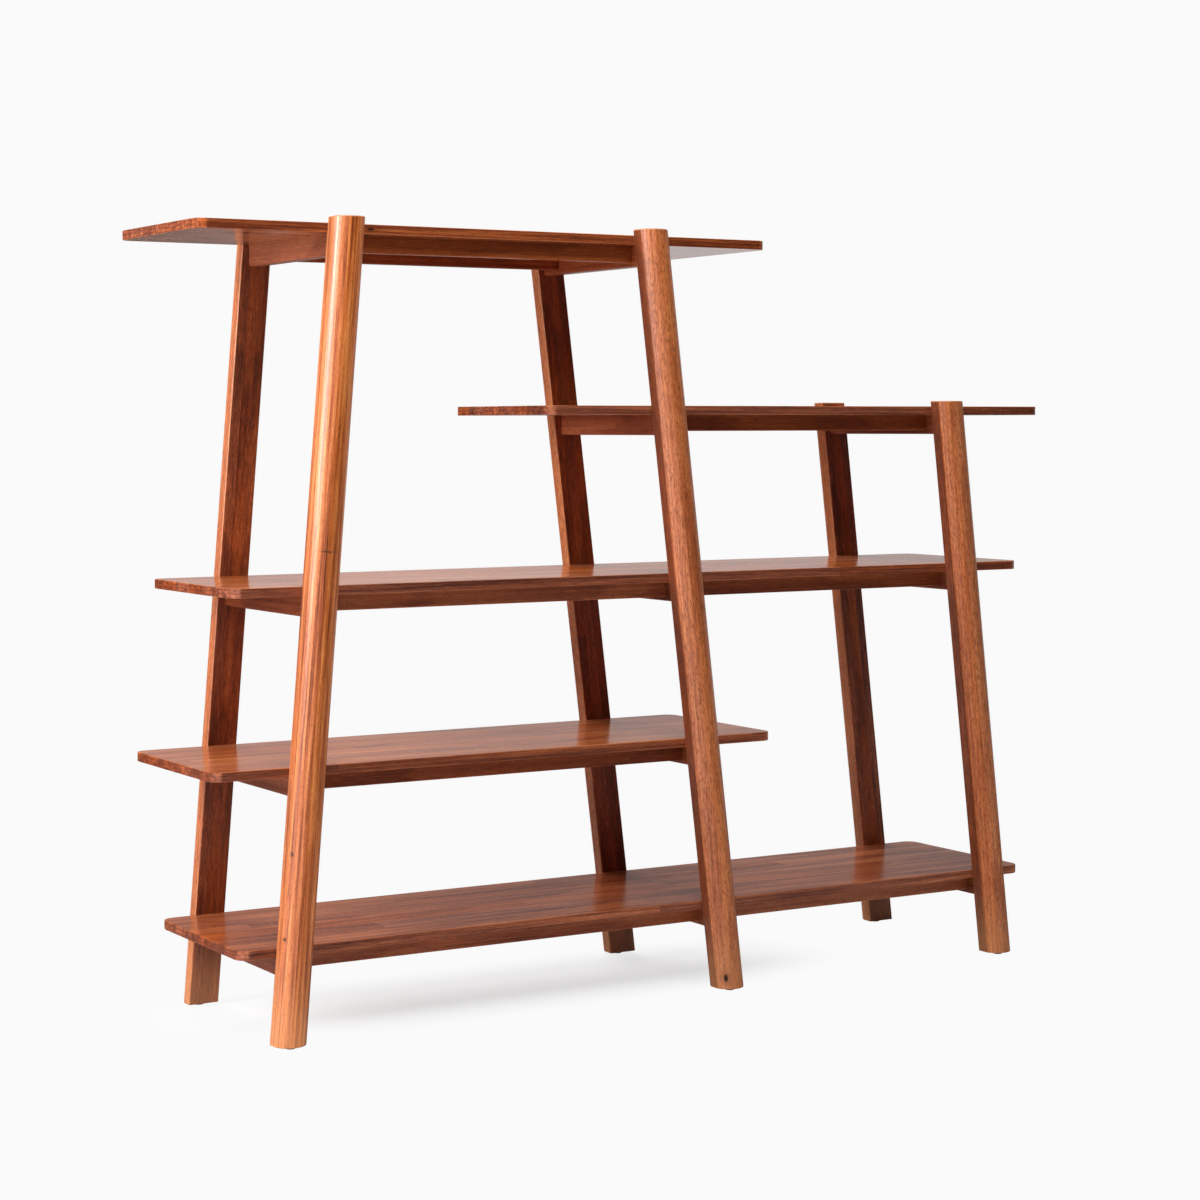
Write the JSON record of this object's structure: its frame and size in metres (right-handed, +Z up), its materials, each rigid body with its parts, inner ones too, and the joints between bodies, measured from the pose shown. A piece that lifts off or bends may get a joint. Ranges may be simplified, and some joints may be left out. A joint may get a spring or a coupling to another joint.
{
  "type": "staircase bookshelf",
  "caption": "Stepped open bookshelf in reddish-brown wood: rounded shelves on leaning round-fronted legs with cross rails, aprons and levelling feet",
  "frame": {"origin": "on the floor under the middle of the whole unit", "axes": "+X to the right along the shelves, +Y to the back, +Z up"},
  "size_m": [1.9356, 0.485, 1.513],
  "materials": {
    "leg_wood": "satin lacquered reddish-brown hardwood, grain along the leg",
    "shelf_wood": "satin lacquered reddish-brown hardwood staves, grain along the shelf",
    "rail_wood": "satin lacquered reddish-brown hardwood, grain along the rail",
    "dowel_wood": "plain pale beech, fluted and glued",
    "pad_plastic": "black moulded nylon",
    "zinc_steel": "bright zinc-plated steel",
    "insert_brass": "plain turned brass"
  },
  "bodies": {
    "shelf_unit": {"left_front_leg": "leg_wood", "left_back_leg": "leg_wood", "centre_front_leg": "leg_wood", "centre_back_leg": "leg_wood", "right_front_leg": "leg_wood", "right_back_leg": "leg_wood", "bottom_shelf": "shelf_wood", "lower_shelf": "shelf_wood", "middle_shelf": "shelf_wood", "upper_shelf": "shelf_wood", "top_shelf": "shelf_wood", "bottom_left_cross_rail": "rail_wood", "bottom_centre_cross_rail": "rail_wood", "bottom_right_cross_rail": "rail_wood", "lower_left_cross_rail": "rail_wood", "lower_centre_cross_rail": "rail_wood", "middle_left_cross_rail": "rail_wood", "middle_centre_cross_rail": "rail_wood", "middle_right_cross_rail": "rail_wood", "upper_centre_cross_rail": "rail_wood", "upper_right_cross_rail": "rail_wood", "top_left_cross_rail": "rail_wood", "top_centre_cross_rail": "rail_wood", "bottom_left_front_apron": "rail_wood", "bottom_left_back_apron": "rail_wood", "bottom_right_front_apron": "rail_wood", "bottom_right_back_apron": "rail_wood", "lower_left_front_apron": "rail_wood", "lower_left_back_apron": "rail_wood", "middle_left_front_apron": "rail_wood", "middle_left_back_apron": "rail_wood", "middle_right_front_apron": "rail_wood", "middle_right_back_apron": "rail_wood", "upper_right_front_apron": "rail_wood", "upper_right_back_apron": "rail_wood", "top_left_front_apron": "rail_wood", "top_left_back_apron": "rail_wood", "frame_dowels": "dowel_wood", "apron_dowels": "dowel_wood", "shelf_bolts": "zinc_steel", "shelf_inserts": "insert_brass", "foot_inserts": "insert_brass"},
    "left_front_pad": {"left_front_foot_pad": "pad_plastic"},
    "left_front_stud": {"left_front_foot_stud": "zinc_steel"},
    "left_back_pad": {"left_back_foot_pad": "pad_plastic"},
    "left_back_stud": {"left_back_foot_stud": "zinc_steel"},
    "centre_front_pad": {"centre_front_foot_pad": "pad_plastic"},
    "centre_front_stud": {"centre_front_foot_stud": "zinc_steel"},
    "centre_back_pad": {"centre_back_foot_pad": "pad_plastic"},
    "centre_back_stud": {"centre_back_foot_stud": "zinc_steel"},
    "right_front_pad": {"right_front_foot_pad": "pad_plastic"},
    "right_front_stud": {"right_front_foot_stud": "zinc_steel"},
    "right_back_pad": {"right_back_foot_pad": "pad_plastic"},
    "right_back_stud": {"right_back_foot_stud": "zinc_steel"}
  },
  "joints": [
    {"name": "left_front_foot_travel", "type": "slide", "parent": "shelf_unit", "child": "left_front_pad", "axis": [0, 0, 1], "range_m": [-0.01, 0]},
    {"name": "left_front_stud_turn", "type": "hinge", "parent": "left_front_pad", "child": "left_front_stud", "pos_m": [-0.81468, -0.2175, 0.005], "axis": [0, 0, 1], "range_deg": [-2881, 1]},
    {"name": "left_back_foot_travel", "type": "slide", "parent": "shelf_unit", "child": "left_back_pad", "axis": [0, 0, 1], "range_m": [-0.01, 0]},
    {"name": "left_back_stud_turn", "type": "hinge", "parent": "left_back_pad", "child": "left_back_stud", "pos_m": [-0.81468, 0.2175, 0.005], "axis": [0, 0, 1], "range_deg": [-2881, 1]},
    {"name": "centre_front_foot_travel", "type": "slide", "parent": "shelf_unit", "child": "centre_front_pad", "axis": [0, 0, 1], "range_m": [-0.01, 0]},
    {"name": "centre_front_stud_turn", "type": "hinge", "parent": "centre_front_pad", "child": "centre_front_stud", "pos_m": [0.14928, -0.2175, 0.005], "axis": [0, 0, 1], "range_deg": [-2881, 1]},
    {"name": "centre_back_foot_travel", "type": "slide", "parent": "shelf_unit", "child": "centre_back_pad", "axis": [0, 0, 1], "range_m": [-0.01, 0]},
    {"name": "centre_back_stud_turn", "type": "hinge", "parent": "centre_back_pad", "child": "centre_back_stud", "pos_m": [0.14928, 0.2175, 0.005], "axis": [0, 0, 1], "range_deg": [-2881, 1]},
    {"name": "right_front_foot_travel", "type": "slide", "parent": "shelf_unit", "child": "right_front_pad", "axis": [0, 0, 1], "range_m": [-0.01, 0]},
    {"name": "right_front_stud_turn", "type": "hinge", "parent": "right_front_pad", "child": "right_front_stud", "pos_m": [0.84078, -0.2175, 0.005], "axis": [0, 0, 1], "range_deg": [-2881, 1]},
    {"name": "right_back_foot_travel", "type": "slide", "parent": "shelf_unit", "child": "right_back_pad", "axis": [0, 0, 1], "range_m": [-0.01, 0]},
    {"name": "right_back_stud_turn", "type": "hinge", "parent": "right_back_pad", "child": "right_back_stud", "pos_m": [0.84078, 0.2175, 0.005], "axis": [0, 0, 1], "range_deg": [-2881, 1]}
  ],
  "couplings": [
    {"joint": "left_front_stud_turn", "follows": "left_front_foot_travel", "rad_per_m": 5026.5},
    {"joint": "left_back_stud_turn", "follows": "left_back_foot_travel", "rad_per_m": 5026.5},
    {"joint": "centre_front_stud_turn", "follows": "centre_front_foot_travel", "rad_per_m": 5026.5},
    {"joint": "centre_back_stud_turn", "follows": "centre_back_foot_travel", "rad_per_m": 5026.5},
    {"joint": "right_front_stud_turn", "follows": "right_front_foot_travel", "rad_per_m": 5026.5},
    {"joint": "right_back_stud_turn", "follows": "right_back_foot_travel", "rad_per_m": 5026.5}
  ]
}
